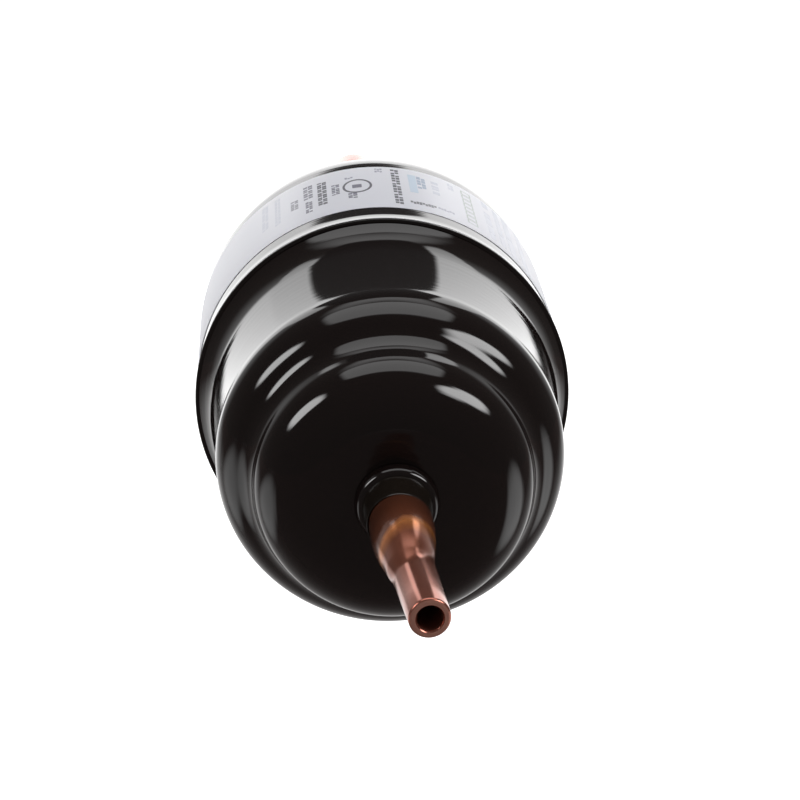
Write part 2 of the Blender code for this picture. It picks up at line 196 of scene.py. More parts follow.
def copperFinish():
    material, tree, shader = newMaterial("copperTube")
    new, link = tree.nodes.new, tree.links.new

    def maths(operation, *terms):
        node = new("ShaderNodeMath")
        node.operation = operation
        for i, term in enumerate(terms):
            if isinstance(term, float):
                node.inputs[i].default_value = term
            else:
                link(term, node.inputs[i])
        return node.outputs[0]

    def ranged(value, low, high, toLow=0.0, toHigh=1.0):
        node = new("ShaderNodeMapRange")
        for socket, limit in (("From Min", low), ("From Max", high), ("To Min", toLow), ("To Max", toHigh)):
            node.inputs[socket].default_value = limit
        link(value, node.inputs["Value"])
        return node.outputs[0]

    place = new("ShaderNodeTexCoord")
    parts = new("ShaderNodeSeparateXYZ")
    link(place.outputs["Object"], parts.inputs[0])
    grain = grainOf(tree, copperLook["grainScale"])
    wandered = maths("MULTIPLY_ADD", grain, copperLook["wander"], parts.outputs["Y"])
    away = maths("ABSOLUTE", maths("SUBTRACT", wandered, copperLook["middle"]))
    # The brown reaches further along the left side of the tube
    left = maths("MINIMUM", parts.outputs["X"], 0.0)
    marked = maths("MULTIPLY_ADD", left, copperLook["sideways"], away)
    heat = ranged(marked, copperLook["heatFrom"], copperLook["heatTo"])
    ramp = new("ShaderNodeValToRGB")
    stops = ramp.color_ramp.elements
    for i, (at, colour) in enumerate(copperLook["stops"]):
        stop = stops[i] if i < 2 else stops.new(at)
        stop.position = at
        stop.color = (*colour, 1)
    link(heat, ramp.inputs["Fac"])
    # Cut ends face along the tube and are brushed
    facing = new("ShaderNodeSeparateXYZ")
    link(place.outputs["Normal"], facing.inputs[0])
    cutEnd = ranged(maths("ABSOLUTE", facing.outputs["Y"]), *copperLook["cutFacing"])
    colour = new("ShaderNodeMix")
    colour.data_type = "RGBA"
    colour.inputs["B"].default_value = (*copperLook["cutColour"], 1)
    link(cutEnd, colour.inputs["Factor"])
    link(ramp.outputs["Color"], colour.inputs["A"])
    link(colour.outputs["Result"], shader.inputs["Base Color"])
    link(ranged(heat, copperLook["bareFrom"], copperLook["bareTo"], copperLook["tarnishedMetal"],
                copperLook["cleanMetal"]), shader.inputs["Metallic"])
    shader.inputs["Coat Weight"].default_value = copperLook["coat"]
    shader.inputs["Coat Roughness"].default_value = copperLook["coatRoughness"]
    rough = ranged(grain, 0.0, 1.0, *copperLook["roughness"])
    link(maths("MULTIPLY_ADD", cutEnd, copperLook["cutRoughness"], rough), shader.inputs["Roughness"])
    return material


enamel = enamelFinish()
copper = copperFinish()
brazePaint = plainFinish("brazePaint", (0.010, 0.007, 0.005), 0.0, 0.2)
paper = plainFinish("labelPaper", (0.74, 0.745, 0.805), 0.0, 0.36)
steel = plainFinish("bareSteel", (0.55, 0.55, 0.56), 1.0, 0.35, 300, 0.2)
desiccant = plainFinish("desiccantBlock", (0.62, 0.58, 0.50), 0.0, 0.95, 900, 0.6)
felt = plainFinish("felt", (0.82, 0.80, 0.74), 0.0, 0.95, 1500, 0.6)

# The inner pieces stay as the solids have them
innerFinishes = {"outlet_plate": steel, "outlet_screen": steel, "inlet_screen": steel, "spring_plate": steel,
                 "spring": steel, "desiccant_core": desiccant, "core_seal": felt, "filter_mat": felt,
                 "inlet_pad": felt}
for name, finish in innerFinishes.items():
    nodes[name].data.materials.clear()
    nodes[name].data.materials.append(finish)
print("materials done")

# Drawn steel body. Slopes are in degrees

seam = 0.0003  # gap of a welded or pressed joint
holeRadius = 0.0063  # of both ends, round their collars

# The lip is given in walls: inward from the rim, and back from the mouth
shell = {"radius": 0.0330, "wall": 0.0010, "length": 0.0386, "lip": ((0.35, 0.0), (0.12, 0.06), (0.0, 0.35)),
         "mouthBreak": 0.0004, "flareRise": 0.0004, "flareLength": 0.0050, "flareSteps": 12,
         "flareFoot": 0.0002, "shoulder": 0.0270, "shoulderSlope": 18, "knuckle": 0.0100, "knuckleSlope": 68,
         "crown": 0.0685, "segments": 256}


def shellProfile():
    rim, wall = shell["radius"] + shell["flareRise"], shell["wall"]
    lip = [(rim - wall * inward, -wall * back) for inward, back in shell["lip"]]
    lipBack = -lip[-1][1]
    flare = []
    for i in range(1, shell["flareSteps"] + 1):
        share = i / shell["flareSteps"]
        flare.append((rim - shell["flareRise"] * (1 - (1 - share) ** 2),
                      -lipBack - (shell["flareLength"] - lipBack) * share))
    # One more point here keeps the shading of the long straight wall off the flare
    flare.append((shell["radius"], -shell["flareLength"] - shell["flareFoot"]))
    shoulder = arc((shell["radius"], shell["length"]), 0, shell["shoulderSlope"], shell["shoulder"], step=1.0)
    knuckle = arc(shoulder[-1][:2], shell["shoulderSlope"], shell["knuckleSlope"], shell["knuckle"])
    crownFrom = math.degrees(math.acos(knuckle[-1][0] / shell["crown"]))
    crownTo = math.degrees(math.acos((holeRadius + seam) / shell["crown"]))
    crown = arc(knuckle[-1][:2], crownFrom, crownTo, shell["crown"], step=1.0)
    dish = shoulder + knuckle[1:] + crown[1:] + [(holeRadius, crown[-1][1], math.radians(90))]
    outside = lip + flare + [(r, -z) for r, z, _ in dish]
    inside = [(r, -z) for r, z, _ in inset(dish[::4] + [dish[-1]], wall)]
    bore = [(shell["radius"] - wall, -shell["flareLength"]), (rim - wall, -shell["mouthBreak"]),
            (rim - wall * 0.8, 0.0)]
    return withoutDoubles(outside + inside[::-1] + bore)


# From the mouth outwards: ramp, slightly hollow drum with a fine bead, nose, crease, riser, step, edge, face
cap = {"wall": 0.0012, "skirt": 0.0090, "shoulderStep": 0.00035, "rampSlope": 30, "rampRadius": 0.0190,
       "wallSlope": 5, "draft": 0.5, "drumLength": 0.0204, "bead": 0.0026, "beadSlope": -2.0,
       "noseRadius": 0.0103, "noseSlope": 49.3, "creaseRadius": 0.0081, "stepSlope": 9.6,
       "stepLength": 0.0009, "stepRadius": 0.0089, "stepTurn": 34.7, "edgeRadius": 0.0118,
       "faceSlope": 88.5, "faceSteps": 4, "neckLift": 0.0006, "neckReach": 0.0110, "segments": 256}


def sine(degrees):
    return math.sin(math.radians(degrees))


def capProfile():
    ramp = arc((shell["radius"] - cap["shoulderStep"], seam), cap["rampSlope"], cap["wallSlope"],
               cap["rampRadius"], True)
    hollow = sine(cap["wallSlope"]) - sine(cap["draft"])
    swell = sine(cap["draft"]) - sine(cap["beadSlope"])
    # The bead and the longer turn of the nose are taken from the drum's length
    straight = cap["drumLength"] - cap["bead"] - cap["noseRadius"] * swell
    drum = arc(ramp[-1][:2], cap["wallSlope"], cap["draft"], straight / hollow, True, step=0.25)
    bead = arc(drum[-1][:2], cap["draft"], cap["beadSlope"], cap["bead"] / swell, True, step=0.25)
    nose = arc(bead[-1][:2], cap["beadSlope"], cap["noseSlope"], cap["noseRadius"])
    crease = arc(nose[-1][:2], cap["noseSlope"], cap["stepSlope"], cap["creaseRadius"], True)
    r, z, slope = crease[-1]
    riser = (r - cap["stepLength"] * math.sin(slope), z + cap["stepLength"] * math.cos(slope))
    step = arc(riser, cap["stepSlope"], cap["stepTurn"], cap["stepRadius"])
    edge = arc(step[-1][:2], cap["stepTurn"], cap["faceSlope"], cap["edgeRadius"], step=3)
    r, z, slope = edge[-1]
    face = []
    for i in range(1, cap["faceSteps"] + 1):
        run = (r - holeRadius - seam) * i / cap["faceSteps"]
        face.append((r - run, z + run / math.tan(slope), slope))
    hole = (holeRadius, face[-1][1], math.radians(90))
    outside = withoutDoubles(ramp + drum + bead[1:] + nose + crease + step + edge + face + [hole])
    skirtOuter = shell["radius"] - shell["wall"] - seam
    skirtInner = skirtOuter - cap["wall"]
    inside = [p for p in inset(outside[::4] + [outside[-1]], cap["wall"]) if p[0] < skirtInner]
    r, z, slope = inside[0]
    skirt = [(skirtInner, z - (skirtInner - r) / math.tan(slope)), (skirtInner, -cap["skirt"]),
             (skirtOuter, -cap["skirt"]), (skirtOuter, seam)]
    return withoutDoubles(plain(outside) + plain(inside)[::-1] + skirt), hole[1]


def addCap(profile):
    bm = turnedMesh(profile, cap["segments"])
    for vert in bm.verts:
        # The hole in the face sits a hair above the middle
        reach = math.hypot(vert.co.x, vert.co.z)
        share = (cap["neckReach"] - reach) / (cap["neckReach"] - holeRadius)
        vert.co.z += cap["neckLift"] * min(1.0, max(0.0, share))
    addPiece("capSkin", bm, enamel, ["end_cap"])


addPiece("shellSkin", turnedMesh(shellProfile(), shell["segments"]), enamel, ["main_shell"])
capPoints, capFace = capProfile()
addCap(capPoints)
print("body done")

# Label: seam is the bare strip underneath, in degrees. The near edge is pressed down on the enamel
label = {"inner": 0.03306, "thickness": 0.00014, "margin": 0.0086, "width": 0.0271, "seam": 7.5,
         "pressed": 0.0007, "segments": 240}


def labelMesh():
    low, high = -label["margin"] - label["width"], -label["margin"]
    inner, outer = label["inner"], label["inner"] + label["thickness"]
    profile = [(inner, low), (outer, low), (outer, high - label["pressed"]), (inner, high)]
    bm = bmesh.new()
    turn = Matrix.Rotation(math.radians(180 + label["seam"] / 2), 4, "Y")
    verts = [bm.verts.new(turn @ Vector((0.0, mouthY - z, r))) for r, z in profile]
    edges = [bm.edges.new(pair) for pair in zip(verts, verts[1:] + verts[:1])]
    bmesh.ops.spin(bm, geom=verts + edges, cent=(0, 0, 0), axis=(0, 1, 0),
                   angle=math.radians(360 - label["seam"]), steps=label["segments"])
    bmesh.ops.holes_fill(bm, edges=[e for e in bm.edges if e.is_boundary])
    return bm


addPiece("labelBand", labelMesh(), paper, ["label"])

# The print is plain bars and simple shapes: angles in degrees from the top, stations in mm, far end first
inks = {"dark": (0.045, 0.042, 0.07), "grey": (0.12, 0.115, 0.17), "light": (0.33, 0.33, 0.42),
        "pale": (0.52, 0.54, 0.63), "blue": (0.26, 0.33, 0.46), "paleBlue": (0.50, 0.60, 0.72),
        "green": (0.36, 0.41, 0.39)}
# Each row: from, to, far, near, ink, cells along the axis, gap, strokes across. No strokes: open frames
printed = [
    (-40.2, -37.6, -33.5, -18.0, "pale", 12, 0.3, 2), (-35.2, -32.9, -33.0, -16.0, "pale", 14, 0.3, 2),
    (-29.3, -26.5, -25.4, -19.4, "grey", 5, 0.25, 2), (-24.7, -21.4, -31.2, -22.4, "grey", 6, 0.3, 2),
    (-24.2, -21.8, -20.9, -13.6, "grey", 5, 0.2, 2), (-20.0, -16.8, -30.6, -15.4, "dark", 11, 0.2, 2),
    (-15.4, -12.7, -26.4, -19.4, "grey", 6, 0.25, 2), (-10.3, -7.3, -18.9, -15.2, "grey", 3, 0.2, 2),
    (-10.9, -8.2, -29.8, -28.6, "light", 1, 0.0, 3), (-1.1, 1.4, -34.4, -31.5, "light", 2, 0.3, 3),
    (4.0, 6.7, -34.2, -10.4, "dark", 13, 0.4, 2), (9.4, 12.0, -32.0, -20.0, "paleBlue", 1, 0.0, 1),
    (12.2, 15.2, -31.6, -23.4, "blue", 4, 0.25, 2), (8.8, 17.2, -13.9, -12.2, "dark", 1, 0.0, 9),
    (17.7, 23.2, -13.9, -12.6, "light", 1, 0.0, 6), (17.0, 19.4, -31.0, -22.0, "pale", 4, 0.4, 1),
    (23.0, 25.2, -34.0, -29.6, "pale", 2, 0.3, 2), (27.7, 31.4, -33.4, -11.6, "green", 8, 0.35, 0),
    (36.0, 38.4, -35.0, -9.4, "pale", 5, 0.2, 1), (40.6, 42.8, -34.6, -11.0, "pale", 3, 0.2, 1),
    (44.6, 47.6, -35.0, -9.4, "pale", 2, 0.1, 1), (51.0, 54.0, -35.0, -9.4, "pale", 1, 0.0, 1)]
ovalMark = {"angle": -7.2, "station": -23.2, "halfAngle": 4.7, "halfLength": 4.5, "line": 0.16, "steps": 40,
            "ink": "dark", "square": (-1.6, 1.4, -1.0, 1.2), "squareInk": "grey"}
# Bars are cut into facets this many degrees wide, and stand this far out of the paper
printForm = {"facet": 0.8, "height": 0.00001, "roughness": 0.32, "frameLine": 0.35, "frameSide": 0.5,
             "ragged": 0.12, "strokeShare": 0.86}


def printMesh():
    bm = bmesh.new()
    tone = bm.verts.layers.float_color.new("tone")
    high = label["inner"] + label["thickness"] + printForm["height"]
    low = label["inner"] + label["thickness"] * 0.9

    # A thin slab over four (angle, station) corners, named by whether they are right and near
    def slab(corners, ink):
        for vert in bmesh.ops.create_cube(bm, size=2)["verts"]:
            angle, station = corners[vert.co.x > 0, vert.co.y > 0]
            r = high if vert.co.z > 0 else low
            a = math.radians(angle)
            vert.co = (math.sin(a) * r, mouthY - station / 1000, math.cos(a) * r)
            vert[tone] = (*inks[ink], 1)

    def bar(left, right, far, near, ink):
        parts = max(1, math.ceil((right - left) / printForm["facet"]))
        for i in range(parts):
            a, b = left + (right - left) * i / parts, left + (right - left) * (i + 1) / parts
            slab({(False, False): (a, far), (True, False): (b, far), (True, True): (b, near),
                  (False, True): (a, near)}, ink)

    def openFrame(left, right, far, near, ink):
        bar(left, right, far, far + printForm["frameLine"], ink)
        bar(left, right, near - printForm["frameLine"], near, ink)
        bar(left, left + printForm["frameSide"], far, near, ink)
        bar(right - printForm["frameSide"], right, far, near, ink)

    # Strokes side by side, of uneven length so that they look like small print
    def strokeRow(left, right, far, near, ink, strokes, cells, row, cell):
        width = (right - left) / strokes
        share = printForm["strokeShare"] if strokes > 1 else 1.0
        for j in range(strokes):
            trim = 0.0
            if strokes > 1 or cells > 3:
                trim = ((row * 7 + cell * 5 + j * 3) % 4) * printForm["ragged"] * (near - far)
            x = left + width * j
            odd = (cell + j) % 2
            bar(x, x + width * share, far + trim * odd, near - trim * (1 - odd), ink)

    for row, (left, right, far, near, ink, cells, gap, strokes) in enumerate(printed):
        for cell in range(cells):
            a = far + (near - far) * cell / cells
            b = far + (near - far) * (cell + 1) / cells - gap
            if strokes == 0:
                openFrame(left, right, a, b, ink)
            else:
                strokeRow(left, right, a, b, ink, strokes, cells, row, cell)

    def onOval(turn, scale):
        t = math.tau * turn / ovalMark["steps"]
        return (ovalMark["angle"] + ovalMark["halfAngle"] * scale * math.cos(t),
                ovalMark["station"] + ovalMark["halfLength"] * scale * math.sin(t))

    thin = 1 - ovalMark["line"]
    for i in range(ovalMark["steps"]):
        slab({(False, False): onOval(i, 1), (True, False): onOval(i + 1, 1),
              (True, True): onOval(i + 1, thin), (False, True): onOval(i, thin)}, ovalMark["ink"])
    left, right, far, near = ovalMark["square"]
    bar(ovalMark["angle"] + left, ovalMark["angle"] + right, ovalMark["station"] + far,
        ovalMark["station"] + near, ovalMark["squareInk"])
    return bm


def inkFinish():
    material, tree, shader = newMaterial("labelInk")
    tone = tree.nodes.new("ShaderNodeAttribute")
    tone.attribute_name = "tone"
    tree.links.new(tone.outputs["Color"], shader.inputs["Base Color"])
    shader.inputs["Roughness"].default_value = printForm["roughness"]
    return material


addPiece("labelPrint", printMesh(), inkFinish())
print("label done")

# End fittings, the same collar and fillet at both ends

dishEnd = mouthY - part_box("main_shell")[1].y
collar = {"radius": 0.0069, "height": 0.0021, "crest": 0.0056, "sleeveBore": 0.0053, "sleeveWall": 0.0007,
          "underLip": 0.0001, "depth": 0.0042, "beadSteps": 16, "segments": 128}
collarTop = seam + collar["height"]


# Turns a profile drawn from an end outwards into stations: way is 1 at the outlet and -1 at the inlet
def fromEnd(points, end, way):
    return [(r, end + way * z) for r, z in points]


def lifted(bm, lift):
    bmesh.ops.translate(bm, verts=bm.verts, vec=(0, 0, lift))
    return bm


def addCollar(name, end, way, node, lift=0.0):
    # A drawn bead, oval in section
    bead = []
    for i in range(collar["beadSteps"] + 1):
        a = math.radians(90 * i / collar["beadSteps"])
        bead.append((collar["crest"] + (collar["radius"] - collar["crest"]) * math.cos(a),
                     seam + collar["height"] * math.sin(a)))
    sleeve = collar["sleeveBore"] + collar["sleeveWall"]
    profile = [(collar["sleeveBore"], -collar["depth"]), (sleeve, -collar["depth"]),
               (sleeve, collar["underLip"]), (collar["radius"] - collar["underLip"], collar["underLip"])]
    profile += bead + [(collar["sleeveBore"], collarTop)]
    bm = turnedMesh(fromEnd(withoutDoubles(profile), end, way), collar["segments"])
    addPiece(name, lifted(bm, lift), enamel, [node])


tube = {"radius": 0.0051, "wall": 0.0009, "inset": 0.0062, "endRound": 0.00045, "segments": 112}
braze = {"height": 0.0065, "foot": 0.0006, "edge": 0.00012, "sunk": 0.0002, "clearance": 0.00003,
         "tip": 0.0001, "steps": 18, "segments": 128}


def addBraze(name, end, way, node, lift=0.0):
    foot = collarTop - braze["sunk"]
    inner = tube["radius"] + braze["clearance"]
    slope = []
    for i in range(braze["steps"] + 1):
        share = i / braze["steps"]
        width = braze["edge"] + (braze["foot"] - braze["edge"]) * (1 - share) ** 2
        slope.append((inner + width, foot + braze["height"] * share))
    top = foot + braze["height"] + braze["tip"]
    profile = [(inner, foot)] + slope + [(inner + braze["edge"] / 2, top), (inner, top)]
    bm = turnedMesh(fromEnd(profile, end, way), braze["segments"])
    addPiece(name, lifted(bm, lift), brazePaint, [node])


addCollar("outletCollar", capFace, 1, "outlet_bushing", cap["neckLift"])
addCollar("inletCollar", dishEnd, -1, "inlet_bushing")
addBraze("outletFillet", capFace, 1, "outlet_braze", cap["neckLift"])
addBraze("inletFillet", dishEnd, -1, "inlet_braze")

# Inner edge of a cut end, as shares of the outer rounding: outward from the bore, and back from the end
brokenEdge = ((0.42, 0.0), (0.10, 0.34), (0.0, 0.60))


# Rim of a tube cut with a wheel: outer edge rolled over, inner edge broken
def openEnd(outer, inner, end, rounding):
    rim = []
    for i in range(7):
        a = math.radians(90 * i / 6)
        rim.append((outer - rounding + rounding * math.cos(a), end - rounding + rounding * math.sin(a)))
    return rim + [(inner + rounding * out, end - rounding * back) for out, back in brokenEdge]


def addInletTube():
    start, end = dishEnd + tube["inset"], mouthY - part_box("inlet_tube")[1].y
    inner = tube["radius"] - tube["wall"]
    length = start - end
    outer = [(tube["radius"], length * i / 12) for i in range(12)]
    profile = [(inner, 0.0)] + outer + openEnd(tube["radius"], inner, length, tube["endRound"])
    bm = turnedMesh(fromEnd(profile, start, -1), tube["segments"])
    addPiece("inletStub", bm, copper, ["inlet_tube"])


# Stations of the outlet tube run from the cap's face. The reducer ends earlier on the side the spigot leans
# to, by the slant, and later on top, by the rise. Its corners are rounded over the blend
outlet = {"straight": 0.0142, "reducer": 0.0115, "ease": 0.45, "slant": 0.0026, "rise": 0.0026,
          "blend": 0.0009, "blendSteps": 3, "lean": 1.5, "bendLength": 0.004, "bendFrom": 0.003,
          "bendStep": 0.0012, "offset": 0.00055, "spigotRadius": 0.00345, "spigotEnd": 0.0032,
          "spigotWall": 0.00125, "spigotLength": 0.0173, "spigotLean": 5.0, "endRound": 0.0006}


# How far the reducer has got at a station, from 0 to 1, as a mean over the blend
def reduced(station):
    total = 0.0
    steps = outlet["blendSteps"]
    for i in range(-steps, steps + 1):
        share = (station + outlet["blend"] * i / steps - outlet["straight"]) / outlet["reducer"]
        share = min(1.0, max(0.0, share))
        total += outlet["ease"] * share + (1 - outlet["ease"]) * share * share
    return total / (2 * steps + 1)


def addOutletTube():
    wide = tube["radius"] - tube["wall"]
    narrow = outlet["spigotEnd"] - outlet["spigotWall"]
    end = outlet["straight"] + outlet["reducer"]
    reach = outlet["rise"] + outlet["blend"] * 1.4
    first = outlet["straight"] - reach
    stations = [-tube["inset"], 0.0, collarTop]
    stations += [outlet["bendFrom"] + outlet["bendStep"] * i for i in range(6)]
    stations += [first + (end - first) * i / 36 for i in range(37)]
    spigot = [end + reach * i / 10 for i in range(1, 11)] + [end + outlet["spigotLength"] * 0.7]
    rim = openEnd(outlet["spigotEnd"], narrow, end + outlet["spigotLength"], outlet["endRound"])
    profile = [(tube["radius"], z) for z in stations + spigot] + rim + [(wide, z) for z in stations[::-1]]
    bm = turnedMesh(fromEnd(profile, capFace, 1), tube["segments"])
    # The straight tube is drawn in and bent, vertex by vertex. Those of the rim have their radius already
    for vert in bm.verts:
        z = mouthY - capFace - vert.co.y
        r = math.hypot(vert.co.x, vert.co.z)
        across, upward = vert.co.x / r, vert.co.z / r
        own = reduced(z + outlet["slant"] * across - outlet["rise"] * upward)
        along, past = min(z, end), max(0.0, z - end)
        if r > (wide + tube["radius"]) / 2:
            r = tube["radius"] + (outlet["spigotRadius"] - tube["radius"]) * own
            r += (outlet["spigotEnd"] - outlet["spigotRadius"]) * past / outlet["spigotLength"]
        elif r > (wide + outlet["spigotEnd"]) / 2:
            r = wide + (narrow - wide) * own
        bent = max(0.0, along - collarTop)
        lean = math.radians(outlet["lean"] * min(1.0, bent / outlet["bendLength"])
                            + (outlet["spigotLean"] - outlet["lean"]) * reduced(along))
        spigotLean = math.radians(outlet["spigotLean"])
        x = bent * math.tan(math.radians(outlet["lean"]))
        x += outlet["offset"] * reduced(along + outlet["slant"])
        vert.co = (x + past * math.sin(spigotLean) + r * across * math.cos(lean),
                   mouthY - capFace - along - past * math.cos(spigotLean) + r * across * math.sin(lean),
                   cap["neckLift"] * (1 - reduced(along)) + r * upward)
    addPiece("outletStub", bm, copper, ["outlet_tube"])


addInletTube()
addOutletTube()
print("fittings done")

# Studio: panels of light, dark cards, floor, drapes, world and camera


def stageMaterial(name):
    material = bpy.data.materials.new(name)
    material.use_nodes = True
    tree = material.node_tree
    tree.nodes.clear()
    return material, tree, tree.nodes.new("ShaderNodeOutputMaterial")


def direction(azimuth, elevation):
    a, e = math.radians(azimuth), math.radians(elevation)
    return Vector((math.sin(a) * math.cos(e), math.cos(a) * math.cos(e), math.sin(e)))


# Mask of a panel on its own UV map, from -1 to 1 each way: 1 inside and 0 at a rounded soft edge
def panelEdgeGroup():
    group = bpy.data.node_groups.new("panelEdge", "ShaderNodeTree")
    group.interface.new_socket("Corner", in_out="INPUT", socket_type="NodeSocketFloat")
    group.interface.new_socket("Soft", in_out="INPUT", socket_type="NodeSocketFloat")
    group.interface.new_socket("Mask", in_out="OUTPUT", socket_type="NodeSocketFloat")
    new, link = group.nodes.new, group.links.new
    given = new("NodeGroupInput")
    place = new("ShaderNodeTexCoord")
    parts = new("ShaderNodeSeparateXYZ")
    link(place.outputs["UV"], parts.inputs[0])
    total = new("ShaderNodeMath")
    for i, axis in enumerate(("X", "Y")):
        whole = new("ShaderNodeMath")
        whole.operation = "ABSOLUTE"
        link(parts.outputs[axis], whole.inputs[0])
        raised = new("ShaderNodeMath")
        raised.operation = "POWER"
        link(whole.outputs[0], raised.inputs[0])
        link(given.outputs["Corner"], raised.inputs[1])
        link(raised.outputs[0], total.inputs[i])
    inside = new("ShaderNodeMath")
    inside.operation = "SUBTRACT"
    inside.inputs[0].default_value = 1.0
    link(given.outputs["Soft"], inside.inputs[1])
    mask = new("ShaderNodeMapRange")
    mask.interpolation_type = "SMOOTHSTEP"
    mask.inputs["From Min"].default_value = 1.0
    link(inside.outputs[0], mask.inputs["From Max"])
    link(total.outputs[0], mask.inputs["Value"])
    result = new("NodeGroupOutput")
    link(mask.outputs[0], result.inputs["Mask"])
    return group


panelEdge = panelEdgeGroup()
panelCentre = Vector((0, -0.04, 0))


# Angles and sizes in degrees as seen from the object: azimuth 0 is behind it and grows to the right. The
# lean tips a panel's height towards a larger azimuth, and a curved panel is bent round the object
def addPanel(name, azimuth, elevation, width, height, strength, soft, corner, lean=0, distance=1.2,
             diffuse=True, curved=False):
    bm = bmesh.new()
    bmesh.ops.create_grid(bm, x_segments=32 if curved else 1, y_segments=1, size=1)
    spread = bm.loops.layers.uv.new("spread")
    for face in bm.faces:
        for loop in face.loops:
            loop[spread].uv = loop.vert.co.xy
    for vert in bm.verts:
        if curved:
            turned, raised = azimuth + vert.co.x * width / 2, elevation + vert.co.y * height / 2
            vert.co = direction(turned, raised) * distance
        else:
            vert.co.x *= distance * math.tan(math.radians(width / 2))
            vert.co.y *= distance * math.tan(math.radians(height / 2))
    mesh = bpy.data.meshes.new(name)
    bm.to_mesh(mesh)
    bm.free()
    material, tree, output = stageMaterial(name)
    edge = tree.nodes.new("ShaderNodeGroup")
    edge.node_tree = panelEdge
    edge.inputs["Corner"].default_value = corner
    edge.inputs["Soft"].default_value = soft
    emission = tree.nodes.new("ShaderNodeEmission")
    emission.inputs["Strength"].default_value = strength
    clear = tree.nodes.new("ShaderNodeBsdfTransparent")
    mix = tree.nodes.new("ShaderNodeMixShader")
    tree.links.new(edge.outputs["Mask"], mix.inputs["Fac"])
    tree.links.new(clear.outputs[0], mix.inputs[1])
    tree.links.new(emission.outputs[0], mix.inputs[2])
    tree.links.new(mix.outputs[0], output.inputs["Surface"])
    mesh.materials.append(material)
    panel = bpy.data.objects.new(name, mesh)
    panel.location = panelCentre
    if not curved:
        way = direction(azimuth, elevation)
        turn = way.to_track_quat("Z", "Y") @ Quaternion((0, 0, 1), math.radians(lean))
        panel.rotation_euler = turn.to_euler()
        panel.location += way * distance
    bpy.context.scene.collection.objects.link(panel)
    panel.visible_camera = False
    panel.visible_shadow = False
    panel.visible_diffuse = diffuse
    panel.visible_volume_scatter = False


panels = {
    "rightBox": dict(azimuth=107, elevation=43, width=18, height=42, lean=42, strength=8.8, soft=0.75,
                     corner=2.5),
    "leftBox": dict(azimuth=-95.5, elevation=32, width=14, height=34, lean=-18, strength=8.5, soft=0.75,
                    corner=2.5),
    "ceiling": dict(azimuth=0, elevation=78, width=62, height=32, strength=1.8, soft=0.6, corner=5),
    "ceilingEdge": dict(azimuth=0, elevation=53, width=112, height=20, strength=1.2, soft=1.0, corner=2,
                        curved=True, diffuse=False),
    "backdrop": dict(azimuth=0, elevation=3, width=67, height=58, strength=1.95, soft=0.3, corner=2.2),
    "backLeft": dict(azimuth=-22, elevation=19, width=15, height=32, lean=-20, strength=1.8, soft=0.5,
                     corner=2.3, diffuse=False),
    "backRight": dict(azimuth=22, elevation=25, width=15, height=36, lean=6, strength=1.95, soft=0.5,
                      corner=2.3, diffuse=False),
    "flag": dict(azimuth=-1.5, elevation=32.0, width=35, height=38.6, strength=0.06, soft=0.35, corner=4,
                 distance=1.1, diffuse=False),
    "haze": dict(azimuth=0, elevation=6, width=104, height=74, strength=0.6, soft=1.0, corner=2,
                 distance=1.3, diffuse=False),
    "lowRight": dict(azimuth=97, elevation=-24, width=36, height=50, lean=26, strength=1.5, soft=0.9,
                     corner=2.3, distance=0.46, diffuse=False),
    "lowLeft": dict(azimuth=-82, elevation=-26, width=30, height=50, lean=-62, strength=1.05, soft=0.9,
                    corner=2.3, distance=0.48, diffuse=False),
}
for name, values in panels.items():
    addPanel(name, **values)
print("panels done")


# One for what the camera sees straight, in metal or through glass, zero for what lights the object
def seenRays(tree):
    path = tree.nodes.new("ShaderNodeLightPath")
    last = path.outputs["Is Camera Ray"]
    for ray in ("Is Glossy Ray", "Is Transmission Ray"):
        either = tree.nodes.new("ShaderNodeMath")
        either.operation = "MAXIMUM"
        tree.links.new(last, either.inputs[0])
        tree.links.new(path.outputs[ray], either.inputs[1])
        last = either.outputs[0]
    return last


paleFloor = {"level": -0.40, "half": 6, "colour": (0.86, 0.86, 0.86), "roughness": 0.8, "specular": 0.1,
             "lift": 0.75}


def addFloor():
    bm = bmesh.new()
    bmesh.ops.create_grid(bm, x_segments=1, y_segments=1, size=paleFloor["half"])
    bmesh.ops.translate(bm, verts=bm.verts, vec=(0, 0, paleFloor["level"]))
    mesh = bpy.data.meshes.new("floor")
    bm.to_mesh(mesh)
    bm.free()
    material, tree, output = stageMaterial("paleFloor")
    shader = tree.nodes.new("ShaderNodeBsdfPrincipled")
    shader.inputs["Base Color"].default_value = (*paleFloor["colour"], 1)
    shader.inputs["Roughness"].default_value = paleFloor["roughness"]
    shader.inputs["Specular IOR Level"].default_value = paleFloor["specular"]
    shader.inputs["Emission Color"].default_value = (1, 1, 1, 1)
    lift = tree.nodes.new("ShaderNodeMath")
    lift.operation = "MULTIPLY"
    lift.inputs[1].default_value = paleFloor["lift"]
    tree.links.new(seenRays(tree), lift.inputs[0])
    tree.links.new(lift.outputs[0], shader.inputs["Emission Strength"])
    tree.links.new(shader.outputs[0], output.inputs["Surface"])
    mesh.materials.append(material)
    floor = bpy.data.objects.new("floor", mesh)
    bpy.context.scene.collection.objects.link(floor)


addFloor()

# Dark drapes, seen only in reflections. The pale floor shows through a soft oval in the lower one
drapes = {"roomRadius": 3.0, "roomGlow": (0.10, 0.092, 0.088), "floorHalf": 2.9, "overFloor": 0.005,
          "floorGlow": (0.12, 0.10, 0.095),
          "opening": {"centre": 1.30, "halfWidth": 1.6, "halfLength": 1.45, "soft": 0.8}}


